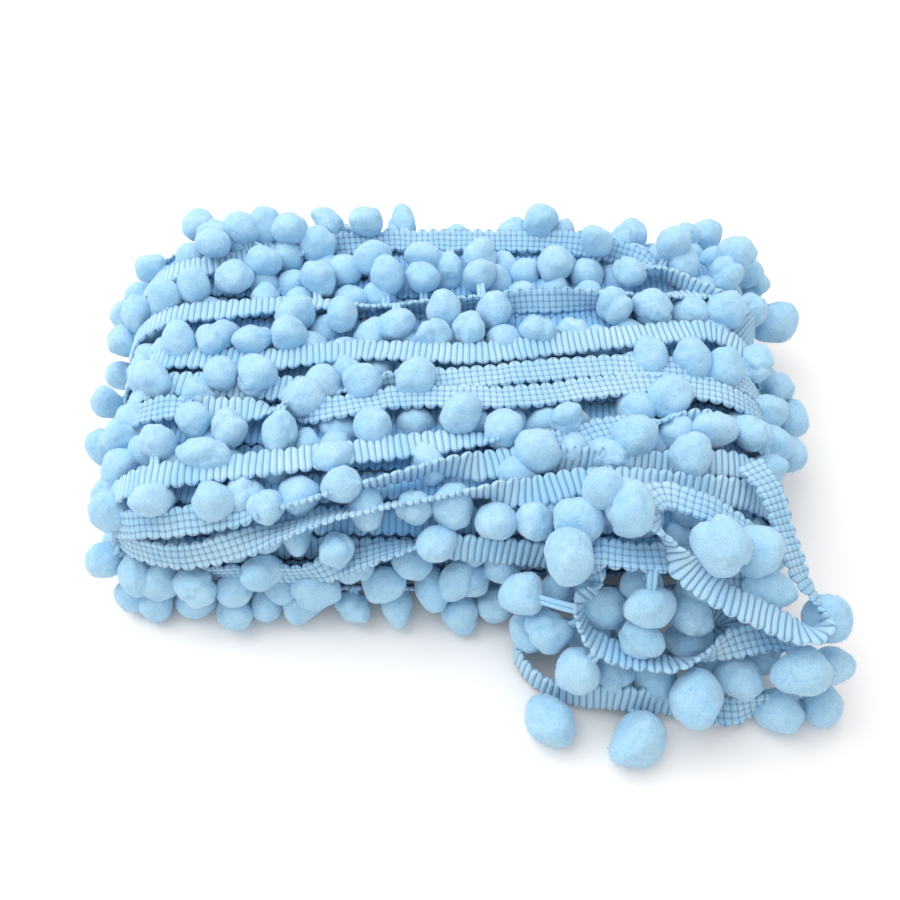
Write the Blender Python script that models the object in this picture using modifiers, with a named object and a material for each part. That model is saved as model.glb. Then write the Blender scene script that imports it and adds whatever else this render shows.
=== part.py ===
# Pompom fringe trim: a flat hank of trim, wound left to right, with its loose end
# heaped on and before the front right corner. Sizes below are in millimetres.
import math
import random

import bmesh
import bpy
from mathutils import Matrix, Vector

MM = 0.001

POMPOM = 8.8  # across an ordinary pompom
TAPE_WIDE = 6.0
TAPE_THICK = 1.5
STEM_THICK = 1.8
UNEVEN = 0.1  # how far a pompom departs from a true ball
GAP = 1.0  # clear space between the hank's pompoms and the loose end
FLOOR_PRESS = 0.4  # how far a pompom is pressed flat on the floor
FLOOR_FLAT = 0.45
SWAY = 1.5  # how far the pompoms of an even row stray from it

HANK_HALF_LONG = 75.0  # middle of the hank to the bend of its turns
HANK_FLARE = 0.1  # how much longer each half gets, for each millimetre towards the back
HANK_FRONT = 42.0
HANK_BACK = 48.0
HANK_HIGH = 33.0
END_ROUND = 16.0
SIDE_ROUND = 11.0
CORE_ROUND = 13.0

TURN_LIFT = 3.5  # top of the raised turns above the hank's even surface
TURN_ROOT = -3.0
TURN_REACH = 98.0  # how far a turn runs round the ends, from the middle of the top
TURN_STEP = 13.0
LOOSE_STEP = 3.0

HANK_VOXEL = 1.2
LOOSE_VOXEL = 0.5
HANK_TRIANGLES = 10500
LOOSE_TRIANGLES = 6500

SKY_BLUE = (0.36, 0.66, 0.86, 1.0)
PALE_BLUE = (0.42, 0.71, 0.89, 1.0)

# Turns that show on top: places along the hank and across it (front is minus).
TURNS = {
    "back": ((-66, 30), (-40, 37), (-10, 42), (20, 41), (40, 37), (56, 27), (70, 17)),
    "second": ((-70, 14), (-52, 16), (-34, 18), (0, 18), (24, 19), (46, 20), (70, 22)),
    "third": ((-70, 1), (-40, 0), (-20, 2), (6, 1), (28, 4), (48, 7), (70, 8)),
    "fourth": ((-70, -14), (-42, -15), (-14, -13), (16, -12), (36, -9), (54, -10), (70, -14)),
    "fourth_double": ((-70, -6), (-30, -8), (6, -6), (26, -5), (46, -4), (70, -5)),
    "fifth": ((-72, -33), (-45, -31), (-18, -27), (6, -23), (24, -24), (46, -18), (70, -20)),
    "sixth": ((-70, -40), (-40, -39), (-22, -37), (0, -32), (16, -28), (46, -29), (70, -28)),
    "front": ((-70, -46), (-44, -42), (-20, -38), (12, -35), (32, -33), (50, -34), (70, -35)),
    "front_low": ((-70, -53), (-34, -47), (-10, -43), (18, -44), (40, -46), (70, -46)),
    "foot": ((-70, -55), (-20, -54), (10, -55), (70, -54)),
    "back_low": ((-70, 50), (-20, 51), (30, 50), (70, 51)),
    "back_foot": ((-70, 59), (-10, 58), (70, 59)),
}

# Pompoms of each row: height above the even surface, then places along and across,
# with the size where it isn't the ordinary one.
POMPOM_ROWS = {
    "back_edge": (8, ((-65, 47), (-57, 34), (-51, 39), (-46, 40), (-39, 39), (-30, 42), (-20, 42),
                      (-11, 46), (25, 43), (38, 35), (52, 50, 9.6), (57, 34), (69, 49, 9.6),
                      (70, 33))),
    "behind_first": (4, ((-74, 35), (-60, 42), (-45, 32), (-61, 23), (-67, 21), (-76, 22),
                         (-52, 26), (-32, 38), (-31, 26), (-18, 33), (-14, 27), (-5, 33),
                         (-5, 26), (9, 34), (9, 27), (28, 31, 9.6), (46, 28), (60, 31),
                         (69, 29, 9.6), (78, 38))),
    "second_row": (4, ((-61, 5), (-53, 5), (-44, 5), (-36, 7), (-35, 14, 9.6), (-24, 13),
                       (-11, 10), (-2, 7), (0, 15), (6, 8), (12, 15), (22, 8), (41, 16, 9.6),
                       (50, 15), (75, 22))),
    "third_row": (4, ((-64, -6), (-50, -5), (-42, -6, 9.6), (-31, -12), (-27, -8), (-18, -8, 9.6),
                      (-6, -7, 9.6), (47, 0), (57, -1), (63, -3, 9.6), (50, -12, 9.6))),
    "fourth_row": (4, ((-70, -18), (-54, -18), (-46, -21, 9.6), (-35, -22, 9.6), (-60, -24),
                       (-50, -28, 9.6), (-15, -20), (-23, -28), (-21, -34), (4, -17, 9.6),
                       (13, -21), (20, -27, 9.6), (27, -18), (41, -23, 10.2), (52, -28, 9.6),
                       (58, -21), (66, -20))),
    "fifth_row": (4, ((-70, -37), (-59, -36), (-47, -36), (-36, -37), (11, -39), (19, -39))),
    "front_edge": (4, ((-22, -43), (-1, -42), (-39, -47), (-13, -50), (3, -49), (-62, -52))),
    "deep": (1, ((-40, 37), (-25, 31), (1, 31), (36, 30), (28, 44), (-17, 9), (15, 7), (31, 10),
                 (60, 17), (-55, -9), (43, -13), (34, -26), (-30, -35), (27, -38), (2, -37),
                 (-19, -48), (-7, -47), (13, -48), (-41, -35), (-22, -3), (-3, -28), (-16, -37),
                 (-6, -37), (16, -31), (28, -25), (36, -27), (51, -20))),
}

# Rows that follow the back of the hank: across, first place, last place, pitch.
EVEN_ROWS = {
    "back_middle": (52, -66, 70, 12.0),
    "back_upper": (46, -58, 62, 15.0),
    "back_foot": (61, -70, 70, 11.5),
}

# Pompoms in plain places round the ends and the front foot, with the size where it differs.
PLACED_POMPOMS = {
    "left_end": ((-80, 35, 22), (-85, 32, 18), (-81.5, 18, 23), (-83.5, 14, 14), (-70.5, 0, 30),
                 (-83.5, 2, 18), (-69.5, -13, 30), (-81, -12, 18), (-70, -25, 29), (-80, -20, 11),
                 (-71, -33, 24), (-76, -40, 13), (-68, -43, 13), (-71, -44, 5), (-82, 26, 5),
                 (-80, 6, 6), (-79, -6, 6), (-76, -30, 5), (-76, 43, 8)),
    "right_end": ((79, 44, 28), (84, 41, 20), (80, 34, 12), (68, 16, 36), (86, 25, 22, 11),
                  (74, 3, 31), (82, 4, 21), (76, -7, 26), (86, -2, 16), (75.5, -15, 24),
                  (71, -25, 27), (82, -13, 17), (84, 16, 10), (80, 38, 5), (82, 24, 5),
                  (80, 8, 5), (80, -7, 5), (78, -20, 8), (76, -34, 6)),
    "foot": ((-62, -44, 12), (-65, -46, 5), (-54, -47, 14, 10), (-56, -45, 5), (-47, -48, 5),
             (-46, -46, 12), (-40, -46, 5), (-36, -44, 10), (-32, -47, 5), (-28, -46, 12, 10),
             (-20.5, -47, 5), (-14, -45, 12), (-10.5, -47, 5), (-2.5, -46, 11), (4, -49, 5),
             (6.5, -45, 14), (12, -47, 6), (12, -44, 21), (18, -44, 22)),
}

# The loose end's heading: place, and the roll of its ribbed face from facing up.
LOOSE_ROUTE = (
    (64, -30, 37.5, 180), (67, -37, 37, 180), (69, -44, 34, 180), (71, -52, 31, 190),
    (74, -58, 29, 225), (74, -63, 28, 300), (69, -64, 29, 345), (60, -61, 32, 360),
    (54, -59, 34, 360), (49, -56, 36, 375), (46, -54, 38, 420), (44, -51, 40, 465),
    (41, -48, 42, 495), (40, -44, 43, 520), (44, -41, 42, 540), (51, -43, 41, 540),
    (59, -46, 38, 550), (64, -49, 33, 570), (62, -52, 29, 590), (56, -52, 29, 560),
    (46, -51, 34, 540), (38, -51, 35, 540), (31, -50, 35, 540), (28, -50, 32, 510),
    (31, -53, 28, 450), (28, -56, 25, 430), (29, -60, 21, 405), (33, -63, 19, 375),
    (40, -65, 18, 385), (47, -66, 18, 405), (54, -64, 18, 450), (60, -62, 19, 505),
    (66, -61, 19, 540), (73, -61, 16, 565), (76, -65, 11, 600), (75, -69, 7, 625),
    (67, -70, 6, 615), (62, -71, 5, 585), (58, -71, 4.5, 540), (53, -71, 5, 480),
    (49, -70, 6, 430), (38, -69, 6.5, 425), (29, -68, 5.5, 430), (23, -66, 4.5, 440),
    (18, -62, 4.5, 445), (16, -57, 4.5, 450), (18, -53, 5, 450), (24, -51, 6, 440),
    (32, -53, 7, 420), (40, -57, 8, 390), (48, -60, 8, 360), (56, -59, 9, 360),
    (62, -55, 11, 380), (59, -52, 14, 400), (50, -52, 16, 420), (42, -52, 15, 420),
    (36, -55, 12, 420),
)

# The loose end's pompoms: place and size.
LOOSE_POMPOMS = (
    (31.5, -40.5, 44, 9.6), (36, -45, 43.5, 11.2), (24.5, -52.5, 38, 11.2), (27, -44, 37.5, 9.6),
    (16.5, -52.5, 22, 10), (22, -58, 16, 10), (41, -58.5, 28.5, 10.4), (40, -62, 21.5, 10.4),
    (33.5, -54.5, 20, 9.6), (28, -66, 13.5, 10.4), (22.5, -73.5, 5.2, 10.4), (40, -77.5, 5.4, 10.8),
    (51.5, -71.5, 13, 10.8), (61.5, -66.5, 11, 9.6), (71.5, -68.5, 20, 10.8), (80, -65, 14, 10),
    (77.5, -59, 24, 10), (80, -69.5, 5.2, 9.6), (70.5, -71.5, 5.2, 9.6), (53, -52.5, 42, 11.2),
    (61.5, -50.5, 37, 10), (64.5, -55.5, 30, 8.8), (51, -57, 21, 10), (52, -59, 13, 9.6),
    (19, -55, 9, 8.8), (45, -65.5, 8, 9.6), (36.5, -64, 8, 9.6), (67.5, -60, 8, 9.6),
    (59, -61.5, 6, 9.6), (41, -52, 25, 9.6), (53, -51, 24, 9.6), (66.5, -53, 20, 9.6),
    (31.5, -57.5, 10, 9.6),
)


def clear_scene():
    for thing in list(bpy.data.objects):
        bpy.data.objects.remove(thing, do_unlink=True)


def make_collection(name):
    group = bpy.data.collections.new(name)
    bpy.context.scene.collection.children.link(group)
    return group


def make_yarn(name, colour, roughness):
    yarn = bpy.data.materials.new(name)
    yarn.use_nodes = True
    shader = yarn.node_tree.nodes["Principled BSDF"]
    shader.inputs["Base Color"].default_value = colour
    shader.inputs["Roughness"].default_value = roughness
    shader.inputs["Metallic"].default_value = 0.0
    return yarn


def hank_point(along, across, lift):
    """A place on the hank's even surface, raised by lift along its normal."""
    depth = HANK_BACK if across > 0 else HANK_FRONT
    straight = HANK_HALF_LONG + HANK_FLARE * across - END_ROUND
    bend = max(abs(along) - straight, 0) / END_ROUND
    roll = max(abs(across) - (depth - SIDE_ROUND), 0) / SIDE_ROUND
    bend = min(bend, math.pi)
    roll = min(roll, math.pi)
    x = min(abs(along), straight) + (END_ROUND + lift) * math.sin(bend)
    y = min(abs(across), depth - SIDE_ROUND)
    y += (SIDE_ROUND + lift) * math.sin(roll) * abs(math.cos(bend))
    z = HANK_HIGH / 2 + (HANK_HIGH / 2 + lift) * math.cos(roll) * math.cos(bend)
    return Vector((math.copysign(x, along), math.copysign(y, across), z))


def smooth_row(row, step):
    """Points about every step along a smooth curve through the row's own points."""
    knots = [Vector(point) for point in row]
    knots.insert(0, knots[0] * 2 - knots[1])
    knots.append(knots[-1] * 2 - knots[-2])
    points = []
    for index in range(1, len(knots) - 2):
        before, start, end, after = knots[index - 1:index + 3]
        count = max(1, round((end - start).length / step))
        for part in range(count):
            t = part / count
            bow = (before * -1 + start * 3 - end * 3 + after) * t ** 3
            bow += (before * 2 - start * 5 + end * 4 - after) * t ** 2
            bow += (end - before) * t
            points.append(start + bow * 0.5)
    points.append(knots[-2])
    return points


def add_copy(mesh, piece, place):
    """Adds a small piece to a larger mesh, moved and turned by the matrix place."""
    bmesh.ops.transform(piece, matrix=place, verts=piece.verts[:])
    bmesh.ops.recalc_face_normals(piece, faces=piece.faces[:])
    copies = {vert: mesh.verts.new(vert.co) for vert in piece.verts}
    for face in piece.faces:
        mesh.faces.new([copies[vert] for vert in face.verts])
    piece.free()


def add_strip(mesh, rings):
    """A closed strip through rings of four corners, given in millimetres."""
    strip = bmesh.new()
    verts = [[strip.verts.new(corner) for corner in ring] for ring in rings]
    for first, second in zip(verts, verts[1:]):
        for side in range(4):
            following = (side + 1) % 4
            strip.faces.new((first[side], first[following], second[following], second[side]))
    strip.faces.new(reversed(verts[0]))
    strip.faces.new(verts[-1])
    add_copy(mesh, strip, Matrix.Scale(MM, 4))


def add_pompom(mesh, centre, size, draw):
    """A slightly uneven ball."""
    ball = bmesh.new()
    bmesh.ops.create_icosphere(ball, subdivisions=2, radius=size / 2)
    stretch = Matrix.Diagonal([draw.uniform(1 - UNEVEN, 1 + UNEVEN) for _ in range(3)])
    axis = Vector((draw.random(), draw.random(), 0.5))
    turn = Matrix.Rotation(draw.uniform(0, math.pi), 4, axis)
    place = Matrix.Translation(centre * MM) @ turn @ stretch.to_4x4() @ Matrix.Scale(MM, 4)
    add_copy(mesh, ball, place)


def add_stem(mesh, start, end):
    """A straight stem of four sides from the heading's edge to its pompom."""
    way = end - start
    stem = bmesh.new()
    corner = STEM_THICK / math.sqrt(2)
    bmesh.ops.create_cone(stem, cap_ends=True, segments=4, radius1=corner, radius2=corner,
                          depth=way.length)
    turn = Vector((0, 0, 1)).rotation_difference(way).to_matrix().to_4x4()
    middle = Matrix.Translation((start + end) * 0.5 * MM)
    add_copy(mesh, stem, middle @ turn @ Matrix.Scale(MM, 4))


def make_object(name, mesh, group, yarn):
    data = bpy.data.meshes.new(name)
    mesh.to_mesh(data)
    mesh.free()
    data.materials.append(yarn)
    made = bpy.data.objects.new(name, data)
    group.objects.link(made)
    return made


def take_modifier(target, change):
    """Applies one modifier to its object's mesh."""
    bpy.context.view_layer.update()
    evaluated = target.evaluated_get(bpy.context.evaluated_depsgraph_get())
    shaped = bpy.data.meshes.new_from_object(evaluated)
    target.modifiers.remove(change)
    target.data = shaped


def fuse(target, voxel, triangles):
    """Makes the overlapping pieces of an object one closed skin of so many triangles."""
    skin = target.modifiers.new("skin", "REMESH")
    skin.mode = "VOXEL"
    skin.voxel_size = voxel * MM
    take_modifier(target, skin)
    keep_outer_skin(target)
    thin = target.modifiers.new("thin", "DECIMATE")
    thin.ratio = triangles / len(target.data.polygons)
    take_modifier(target, thin)
    for vert in target.data.vertices:
        if vert.co.z < FLOOR_FLAT * MM:
            vert.co.z = 0.0
    target.data.update()


def joined_faces(first, left):
    """The faces joined to the first one, each taken out of those left."""
    del left[first]
    joined = [first]
    for known in joined:
        for edge in known.edges:
            for other in edge.link_faces:
                if other in left:
                    del left[other]
                    joined.append(other)
    return joined


def volume_within(faces):
    return sum(face.calc_area() * face.normal.dot(face.calc_center_median()) for face in faces)


def keep_outer_skin(target):
    """Leaves the outer skin alone, without the small spaces shut in between pompoms."""
    mesh = bmesh.new()
    mesh.from_mesh(target.data)
    bmesh.ops.triangulate(mesh, faces=mesh.faces[:])
    mesh.normal_update()
    left = dict.fromkeys(mesh.faces)
    shells = []
    while left:
        shells.append(joined_faces(next(iter(left)), left))
    shells.sort(key=volume_within)
    inner = [face for shell in shells[:-1] for face in shell]
    bmesh.ops.delete(mesh, geom=inner, context="FACES")
    mesh.to_mesh(target.data)
    mesh.free()


def add_core(mesh):
    """The wound mass under the turns, a block with round edges and a flat underside."""
    core = bmesh.new()
    bmesh.ops.create_cube(core, size=1.0)
    size = (HANK_HALF_LONG * 2, HANK_BACK + HANK_FRONT, HANK_HIGH)
    bmesh.ops.scale(core, vec=size, verts=core.verts[:])
    bmesh.ops.bevel(core, geom=core.edges[:], offset=CORE_ROUND, segments=3, profile=0.5,
                    affect="EDGES")
    middle = Vector((0, (HANK_BACK - HANK_FRONT) / 2, HANK_HIGH / 2))
    for vert in core.verts:
        vert.co.x *= 1 + HANK_FLARE * (vert.co.y + middle.y) / HANK_HALF_LONG
    add_copy(mesh, core, Matrix.Translation(middle * MM) @ Matrix.Scale(MM, 4))


def add_turns(mesh):
    """The raised turns of the heading, each run over the top and round both ends."""
    half = TAPE_WIDE / 2
    for row in TURNS.values():
        first = (-TURN_REACH, row[0][1])
        last = (TURN_REACH, row[-1][1])
        rings = []
        for along, across in smooth_row((first, *row, last), TURN_STEP):
            rings.append([hank_point(along, across - half, TURN_LIFT),
                          hank_point(along, across + half, TURN_LIFT),
                          hank_point(along, across + half, TURN_ROOT),
                          hank_point(along, across - half, TURN_ROOT)])
        add_strip(mesh, rings)


def hank_pompoms(draw):
    """Centre and size of each pompom of the hank."""
    for lift, places in POMPOM_ROWS.values():
        for along, across, *size in places:
            yield hank_point(along, across, lift), size[0] if size else POMPOM
    for across, first, last, pitch in EVEN_ROWS.values():
        count = round((last - first) / pitch)
        for index in range(count + 1):
            along = first + (last - first) * index / count + draw.uniform(-SWAY, SWAY)
            yield hank_point(along, across + draw.uniform(-SWAY, SWAY), 4), POMPOM
    for places in PLACED_POMPOMS.values():
        for x, y, z, *size in places:
            yield Vector((x, y, z)), size[0] if size else POMPOM


def is_clear(centre, size, loose):
    """Whether a pompom of the hank stays clear of the loose end."""
    return all((centre - place).length > (size + width) / 2 + GAP for place, width in loose)


def add_hank_pompoms(mesh, loose):
    draw = random.Random(17)
    for centre, size in hank_pompoms(draw):
        centre.z = max(centre.z, size / 2 - FLOOR_PRESS)
        if is_clear(centre, size, loose):
            add_pompom(mesh, centre, size, draw)


def loose_frames():
    """Points of the loose heading, each with its face's normal and its way across."""
    points = smooth_row(LOOSE_ROUTE, LOOSE_STEP)
    places = [Vector(point[:3]) for point in points]
    frames = []
    for index, place in enumerate(places):
        ahead = places[min(index + 1, len(places) - 1)]
        behind = places[max(index - 1, 0)]
        tangent = (ahead - behind).normalized()
        side = Vector((0, 0, 1)).cross(tangent).normalized()
        roll = math.radians(points[index][3])
        normal = tangent.cross(side) * math.cos(roll) + side * math.sin(roll)
        frames.append((place, normal, tangent.cross(normal)))
    return frames


def loose_pompoms():
    """Centre and size of each pompom of the loose end."""
    for x, y, z, size in LOOSE_POMPOMS:
        yield Vector((x, y, max(z, size / 2 - FLOOR_PRESS))), size


def add_loose_heading(mesh, frames):
    rings = []
    for place, normal, across in frames:
        edge = across * TAPE_WIDE / 2
        face = normal * TAPE_THICK / 2
        rings.append([place - edge + face, place + edge + face,
                      place + edge - face, place - edge - face])
    add_strip(mesh, rings)


def add_loose_pompoms(mesh, frames):
    draw = random.Random(31)
    for centre, size in loose_pompoms():
        place, _, across = min(frames, key=lambda frame: (frame[0] - centre).length)
        edges = [place + across * side * (TAPE_WIDE / 2 - 1) for side in (-1, 1)]
        add_stem(mesh, min(edges, key=lambda edge: (edge - centre).length), centre)
        add_pompom(mesh, centre, size, draw)


def make_hank(group, yarn, loose):
    mesh = bmesh.new()
    add_core(mesh)
    add_turns(mesh)
    add_hank_pompoms(mesh, loose)
    fuse(make_object("hank", mesh, group, yarn), HANK_VOXEL, HANK_TRIANGLES)


def make_loose_end(group, yarn, frames):
    mesh = bmesh.new()
    add_loose_heading(mesh, frames)
    add_loose_pompoms(mesh, frames)
    fuse(make_object("loose_end", mesh, group, yarn), LOOSE_VOXEL, LOOSE_TRIANGLES)


def main():
    clear_scene()
    trim = make_collection("pompom_fringe_trim")
    frames = loose_frames()
    loose = [(place, TAPE_WIDE) for place, _, _ in frames]
    loose += list(loose_pompoms())
    make_hank(trim, make_yarn("hank_yarn", SKY_BLUE, 0.88), loose)
    make_loose_end(trim, make_yarn("loose_yarn", PALE_BLUE, 0.88), frames)


main()
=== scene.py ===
# Pompom fringe trim: the heading, stems and pompoms of a flat hank and of its loose end.
# Lengths in the tables are in millimetres, and mm turns them into Blender's metres.
import math
import random

import bmesh
import bpy
import numpy as np
from mathutils import Matrix, Vector, noise


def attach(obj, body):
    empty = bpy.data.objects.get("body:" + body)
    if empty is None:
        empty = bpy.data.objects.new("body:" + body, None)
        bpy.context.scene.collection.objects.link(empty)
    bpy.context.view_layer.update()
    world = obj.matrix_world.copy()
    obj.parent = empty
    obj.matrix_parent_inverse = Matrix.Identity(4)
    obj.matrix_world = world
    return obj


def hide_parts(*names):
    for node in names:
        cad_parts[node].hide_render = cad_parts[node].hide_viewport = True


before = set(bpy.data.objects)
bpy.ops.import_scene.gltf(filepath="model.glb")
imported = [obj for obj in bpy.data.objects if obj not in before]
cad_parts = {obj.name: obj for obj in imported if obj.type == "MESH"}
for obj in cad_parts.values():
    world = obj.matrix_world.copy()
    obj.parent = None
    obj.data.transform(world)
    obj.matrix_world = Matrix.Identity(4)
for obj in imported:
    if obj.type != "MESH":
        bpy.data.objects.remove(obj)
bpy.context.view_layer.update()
mm = 0.001
bpy.ops.object.select_all(action="DESELECT")
print("frame loaded:", sorted(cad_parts))


# Small helpers for modelling.
def activate(piece):
    bpy.ops.object.select_all(action="DESELECT")
    piece.select_set(True)
    bpy.context.view_layer.objects.active = piece


def applyModifier(piece, kind, settings):
    activate(piece)
    change = piece.modifiers.new(kind.lower(), kind)
    for key, value in settings.items():
        setattr(change, key, value)
    bpy.ops.object.modifier_apply(modifier=change.name)


def editMode(piece, selectMode):
    activate(piece)
    bpy.ops.object.mode_set(mode="EDIT")
    bpy.ops.mesh.select_mode(type=selectMode)


def selectWhere(piece, part, wanted):
    mesh = bmesh.from_edit_mesh(piece.data)
    for item in getattr(mesh, part):
        item.select_set(wanted(item))
    bmesh.update_edit_mesh(piece.data)


def objectMode():
    bpy.ops.object.mode_set(mode="OBJECT")


def joinPieces(name, pieces, material):
    activate(pieces[0])
    for piece in pieces[1:]:
        piece.select_set(True)
    bpy.ops.object.join()
    joined = bpy.context.active_object
    joined.name = name
    joined.data.name = name
    bpy.ops.object.transform_apply(location=True, rotation=True, scale=True)
    bpy.ops.object.shade_smooth()
    joined.data.materials.clear()
    joined.data.materials.append(material)
    print("made", name, "with", len(joined.data.polygons), "faces")
    return joined


def copyOf(piece, place):
    twin = piece.copy()
    twin.data = piece.data.copy()
    twin.matrix_world = place
    bpy.context.scene.collection.objects.link(twin)
    return twin


# Shader maths: a wrapped socket, and one material with its own way to add nodes.
class Wire:
    def __init__(self, finish, socket):
        self.finish = finish
        self.socket = socket

    def maths(self, operation, first, second):
        return self.finish.node("ShaderNodeMath", {"operation": operation}, {0: first, 1: second})

    def __add__(self, other):
        return self.maths("ADD", self, other)

    def __sub__(self, other):
        return self.maths("SUBTRACT", self, other)

    def __rsub__(self, other):
        return self.maths("SUBTRACT", other, self)

    def __mul__(self, other):
        return self.maths("MULTIPLY", self, other)

    __radd__ = __add__
    __rmul__ = __mul__


class Finish:
    def __init__(self, name, settings):
        self.material = bpy.data.materials.new(name)
        self.material.use_nodes = True
        self.tree = self.material.node_tree
        self.shader = self.tree.nodes["Principled BSDF"]
        for socket, value in settings.items():
            self.shader.inputs[socket].default_value = value

    def node(self, kind, settings, values, output=0):
        made = self.tree.nodes.new(kind)
        for key, value in settings.items():
            setattr(made, key, value)
        for socket, value in values.items():
            self.feed(made.inputs[socket], value)
        return Wire(self, made.outputs[output])

    def feed(self, socket, value):
        if isinstance(value, Wire):
            self.tree.links.new(value.socket, socket)
        else:
            socket.default_value = value

    def shade(self, socket, value):
        self.feed(self.shader.inputs[socket], value)

    def cloud(self, where, scale, detail, rough=0.5):
        return self.node("ShaderNodeTexNoise", {}, {
            "Vector": where, "Scale": scale, "Detail": detail, "Roughness": rough})

    def spread(self, value, low, high, first=0.0, last=1.0):
        return self.node("ShaderNodeMapRange", {}, {
            "Value": value, "From Min": low, "From Max": high, "To Min": first, "To Max": last})

    def blend(self, share, first, second):
        made = self.tree.nodes.new("ShaderNodeMix")
        made.data_type = "RGBA"
        self.feed(made.inputs[0], share)
        self.feed(made.inputs[6], first)
        self.feed(made.inputs[7], second)
        return Wire(self, made.outputs[2])

    def bump(self, height, distance, strength, under=None):
        values = {"Height": height, "Distance": distance, "Strength": strength}
        if under is not None:
            values["Normal"] = under
        return self.node("ShaderNodeBump", {}, values)


# Colours of the yarn in linear values, painted shade included, and the sizes of its patterns.
yarn = {
    "pale": (0.48, 0.725, 0.885, 1.0),
    "middle": (0.355, 0.63, 0.845, 1.0),
    # The next colour is painted shade for the pits between tufts and the low spots of the threads.
    "deep": (0.18, 0.42, 0.73, 1.0),
    # The next colour is painted shade for the grooves between ribs and the holes between chains.
    "grooveShade": (0.075, 0.17, 0.34, 1.0),
    # The next two colours are painted shade: darker copies of pale and middle for the turns and
    # core deep in the hank.
    "shadedInnerPale": (0.30, 0.59, 0.84, 1.0),
    "shadedInnerMiddle": (0.22, 0.50, 0.80, 1.0),
    "smudge": (0.45, 0.50, 0.42, 1.0),
    "roughness": 0.9,
    "sheen": 0.35,
    "sheenRoughness": 0.45,
    "driftScale": 110,  # soft changes of tone over the pompoms
    "clumpSize": 1.5,
    "clumpDepth": 0.45,
    "pileSize": 0.32,  # one tuft of the cut pile
    "pileDepth": 0.16,
    "pitShadeShare": 0.62,  # painted shade in the pits between tufts
    "threadDriftScale": 90,
    "lintSize": 0.3,
    "threadDepth": 0.1,
    "frontGrooveShade": 0.72,  # painted shade in the grooves, on the ribbed face and on the chains
    "columnGrooveShade": 0.5,
    "rowGrooveShade": 0.36,
    "pliesAcross": 12,
    "pliesAlong": 2,
}
smudges = (((-76, 33, 38), 3.2), ((-62, 22, 41), 3.0))  # place and radius of the grey marks


def makePompomFinish():
    finish = Finish("pompomYarn", {
        "Roughness": yarn["roughness"], "Specular IOR Level": 0.15,
        "Sheen Weight": yarn["sheen"], "Sheen Roughness": yarn["sheenRoughness"]})
    where = finish.node("ShaderNodeTexCoord", {}, {}, "Object")
    drift = finish.cloud(where, yarn["driftScale"], 2)
    pile = finish.cloud(where, 1 / (yarn["pileSize"] * mm), 3, 0.6)
    clumps = finish.cloud(where, 1 / (yarn["clumpSize"] * mm), 2)
    tone = finish.spread(drift * 0.55 + clumps * 0.45, 0.34, 0.66)
    colour = finish.blend(tone, yarn["middle"], yarn["pale"])
    # Painted shade: the pits between tufts, where the pile bump is low, are darkened towards the
    # deep colour.
    pitShade = finish.spread(pile, 0.28, 0.5, 1, 0)
    colour = finish.blend(pitShade * yarn["pitShadeShare"], colour, yarn["deep"])
    for place, radius in smudges:
        centre = [value * mm for value in place]
        away = finish.node("ShaderNodeVectorMath", {"operation": "DISTANCE"},
                           {0: where, 1: centre}, "Value")
        mark = finish.spread(away, radius * mm, radius * mm * 0.2) * finish.spread(clumps, 0.4, 0.6)
        colour = finish.blend(mark * 0.5, colour, yarn["smudge"])
    finish.shade("Base Color", colour)
    finish.shade("Roughness", finish.spread(pile, 0.3, 0.7, 0.98, 0.84))
    rough = finish.bump(clumps, yarn["clumpDepth"] * mm, 0.65)
    finish.shade("Normal", finish.bump(pile, yarn["pileDepth"] * mm, 0.8, rough))
    return finish.material


def makeThreadFinish(name, ribs, pale, middle):
    finish = Finish(name, {
        "Roughness": yarn["roughness"], "Specular IOR Level": 0.2,
        "Sheen Weight": yarn["sheen"], "Sheen Roughness": yarn["sheenRoughness"]})
    where = finish.node("ShaderNodeTexCoord", {}, {}, "Object")
    drift = finish.cloud(where, yarn["threadDriftScale"], 2)
    lint = finish.cloud(where, 1 / (yarn["lintSize"] * mm), 3, 0.6)
    colour = finish.blend(finish.spread(drift, 0.35, 0.65), yarn[middle], yarn[pale])
    # Painted shade: the low spots of the lint bump are darkened towards the deep colour.
    colour = finish.blend(finish.spread(lint, 0.25, 0.5, 0.4, 0), colour, yarn["deep"])
    height = lint
    if ribs:
        weave = finish.node("ShaderNodeUVMap", {"uv_map": "weave"}, {})
        along = finish.node("ShaderNodeSeparateXYZ", {}, {0: weave}, "X")
        across = finish.node("ShaderNodeSeparateXYZ", {}, {0: weave}, "Y")
        wave = finish.node("ShaderNodeMath", {"operation": "SINE"}, {0: along * math.pi})
        rise = finish.node("ShaderNodeMath", {"operation": "ABSOLUTE"}, {0: wave})
        reverse = finish.spread(across, 0.95, 1.05)
        ring = finish.node("ShaderNodeMath", {"operation": "SINE"}, {0: across * (4 * math.pi)})
        chain = ring * ring
        # Painted shade: the grooves between ribs and the holes between chain rows are darkened
        # towards the groove colour.
        front = finish.spread(rise, 0.0, 0.6, yarn["frontGrooveShade"], 0) * (1 - reverse)
        columns = finish.spread(rise, 0.05, 0.55, yarn["columnGrooveShade"], 0)
        rows = finish.spread(chain, 0.0, 0.45, yarn["rowGrooveShade"], 0)
        colour = finish.blend(front + (columns + rows) * reverse, colour, yarn["grooveShade"])
        twist = across * yarn["pliesAcross"] + along * yarn["pliesAlong"]
        twist = twist * (2 * math.pi)
        plies = finish.node("ShaderNodeMath", {"operation": "SINE"}, {0: twist})
        height = lint * 0.5 + plies * 0.25
    finish.shade("Base Color", colour)
    finish.shade("Roughness", finish.spread(lint, 0.3, 0.7, 0.95, 0.8))
    finish.shade("Normal", finish.bump(height, yarn["threadDepth"] * mm, 0.7))
    return finish.material


pompomYarn = makePompomFinish()
headingYarn = makeThreadFinish("headingYarn", True, "pale", "middle")
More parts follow.
